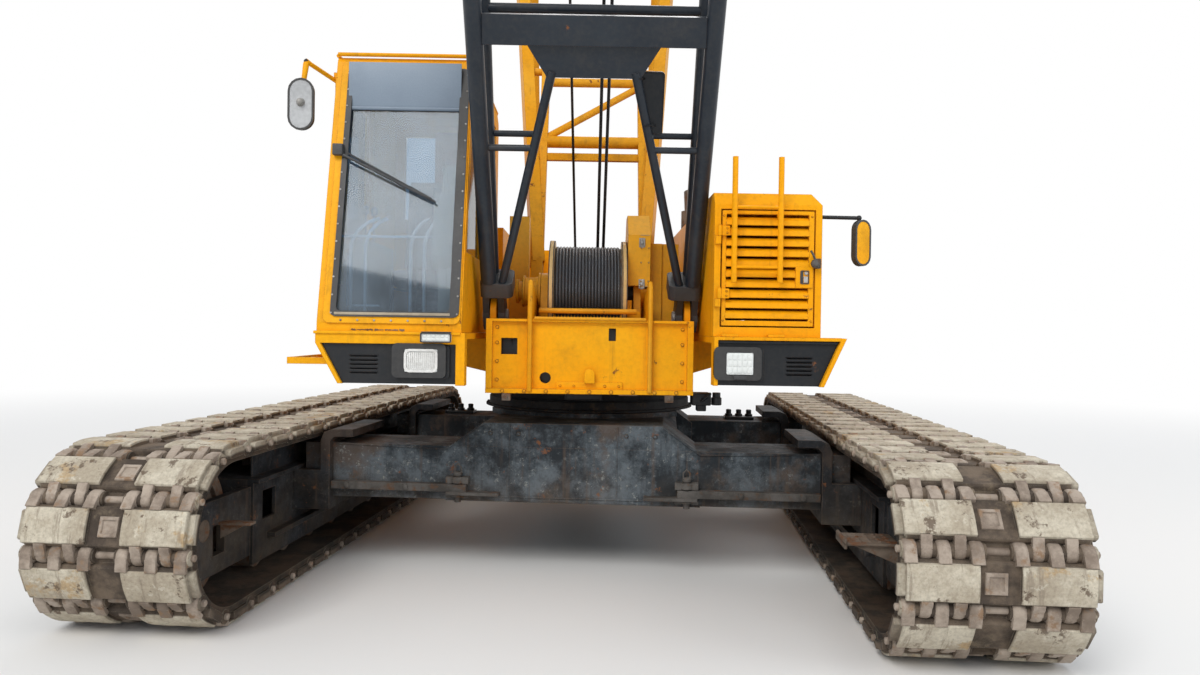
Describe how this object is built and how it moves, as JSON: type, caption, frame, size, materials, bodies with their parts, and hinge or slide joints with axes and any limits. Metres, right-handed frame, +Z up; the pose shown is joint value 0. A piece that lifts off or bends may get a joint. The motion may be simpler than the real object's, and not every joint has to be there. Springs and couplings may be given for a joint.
{
  "type": "lattice boom crawler crane",
  "caption": "Crawler crane with a black tubular lattice boom, yellow cab and machinery house, rope winches, gantry and rear counterweight, standing on two shoe tracks.",
  "frame": {"origin": "on the ground under the slew axis", "axes": "+Z up; the upper works and the boom face -Y; +X is the machinery house side"},
  "size_m": [5.7087, 13.1097, 15.306],
  "materials": {
    "yellow_paint": "satin, faded and rust-streaked",
    "black_paint": "matt, chipped",
    "worn_steel": "rough, rusty",
    "bright_steel": "worn",
    "grey_paint": "satin",
    "wire_rope": "greased",
    "glass": "clear, dusty",
    "cab_trim": "matt",
    "lamp": "polished"
  },
  "bodies": {
    "undercarriage": {"car_body": "black_paint", "slew_ring": "worn_steel", "lock_links": "worn_steel", "side_frames": "black_paint", "saddles": "black_paint", "left_track": "worn_steel", "right_track": "worn_steel", "idlers": "worn_steel", "sprockets": "worn_steel", "rollers": "worn_steel", "drives": "grey_paint"},
    "upper_works": {"slew_ring_upper": "worn_steel", "revolving_frame": "yellow_paint", "frame_pins": "bright_steel", "counterweight": "yellow_paint", "engine": "grey_paint", "exhaust": "worn_steel", "cab_shell": "yellow_paint", "cab_glass": "glass", "cab_seat": "cab_trim", "cab_console": "grey_paint", "cab_steps": "yellow_paint", "aprons": "black_paint", "headlamps": "lamp", "house_right": "yellow_paint", "house_left": "yellow_paint", "house_hinges": "bright_steel", "mirrors": "black_paint", "winch_stands": "yellow_paint", "winch_covers": "yellow_paint", "gantry_legs": "yellow_paint", "gantry_struts": "yellow_paint", "gantry_shaft": "bright_steel"},
    "cab_door": {"cab_door": "yellow_paint", "cab_door_glass": "glass"},
    "house_door": {"house_door": "yellow_paint", "grab_rails": "yellow_paint"},
    "side_door_front": {"side_door_front": "yellow_paint"},
    "side_door_rear": {"side_door_rear": "yellow_paint"},
    "house_left_door": {"house_left_door": "yellow_paint"},
    "front_drum": {"front_drum": "wire_rope"},
    "rear_drum": {"rear_drum": "wire_rope"},
    "luffing_drum": {"luffing_drum": "wire_rope"},
    "gantry_sheaves": {"gantry_sheaves": "worn_steel"},
    "luffing_falls": {"luffing_falls": "wire_rope"},
    "boom": {"boom_foot": "black_paint", "boom_base_chords": "black_paint", "boom_base_lacing": "black_paint", "boom_foot_frame": "black_paint", "boom_tip_chords": "black_paint", "boom_tip_lacing": "black_paint", "boom_head": "black_paint"},
    "head_sheaves": {"head_sheaves": "worn_steel"},
    "pendants": {"pendants": "wire_rope", "bridle": "worn_steel", "bridle_falls": "wire_rope"},
    "hook_block": {"hook_block": "worn_steel", "hook_ropes": "wire_rope"}
  },
  "joints": [
    {"name": "slew", "type": "hinge", "parent": "undercarriage", "child": "upper_works", "pos_m": [0, 0, 1.11545], "axis": [0, 0, 1], "continuous": true},
    {"name": "boom_luff", "type": "hinge", "parent": "upper_works", "child": "boom", "pos_m": [0, -1.05, 1.72], "axis": [1, 0, 0], "range_deg": [-18, 32]},
    {"name": "pendant_swing", "type": "hinge", "parent": "boom", "child": "pendants", "pos_m": [0, -7.68704, 15.22488], "axis": [1, 0, 0], "range_deg": [-0.72, 1.28]},
    {"name": "falls_swing", "type": "hinge", "parent": "upper_works", "child": "luffing_falls", "pos_m": [0, 1.65747, 5.54], "axis": [1, 0, 0], "range_deg": [-19.08, 33.92]},
    {"name": "hook_hang", "type": "hinge", "parent": "boom", "child": "hook_block", "pos_m": [0, -8.63739, 14.94608], "axis": [1, 0, 0], "range_deg": [-32, 18]},
    {"name": "head_sheave_spin", "type": "hinge", "parent": "boom", "child": "head_sheaves", "pos_m": [0, -8.63739, 14.94608], "axis": [1, 0, 0], "continuous": true},
    {"name": "front_drum_spin", "type": "hinge", "parent": "upper_works", "child": "front_drum", "pos_m": [0, -0.8, 1.9], "axis": [1, 0, 0], "continuous": true},
    {"name": "rear_drum_spin", "type": "hinge", "parent": "upper_works", "child": "rear_drum", "pos_m": [0, 0.75, 1.96], "axis": [1, 0, 0], "continuous": true},
    {"name": "luffing_drum_spin", "type": "hinge", "parent": "upper_works", "child": "luffing_drum", "pos_m": [0, 1.85, 1.96], "axis": [1, 0, 0], "continuous": true},
    {"name": "gantry_sheave_spin", "type": "hinge", "parent": "upper_works", "child": "gantry_sheaves", "pos_m": [0, 1.65747, 5.54], "axis": [1, 0, 0], "continuous": true},
    {"name": "cab_door_slide", "type": "slide", "parent": "upper_works", "child": "cab_door", "axis": [0, 1, 0], "range_m": [0, 0.68]},
    {"name": "house_door_swing", "type": "hinge", "parent": "upper_works", "child": "house_door", "pos_m": [0.777, -1.767, 2], "axis": [0, 0, -1], "range_deg": [0, 65]},
    {"name": "side_door_front_swing", "type": "hinge", "parent": "upper_works", "child": "side_door_front", "pos_m": [1.417, 0.642, 2], "axis": [0, 0, -1], "range_deg": [0, 95]},
    {"name": "side_door_rear_swing", "type": "hinge", "parent": "upper_works", "child": "side_door_rear", "pos_m": [1.417, 1.722, 2], "axis": [0, 0, -1], "range_deg": [0, 95]},
    {"name": "house_left_door_swing", "type": "hinge", "parent": "upper_works", "child": "house_left_door", "pos_m": [-1.617, 0.592, 2], "axis": [0, 0, 1], "range_deg": [0, 95]}
  ],
  "couplings": [
    {"joint": "pendant_swing", "follows": "boom_luff", "ratio": 0.04},
    {"joint": "falls_swing", "follows": "boom_luff", "ratio": 1.06},
    {"joint": "hook_hang", "follows": "boom_luff", "ratio": -1}
  ]
}
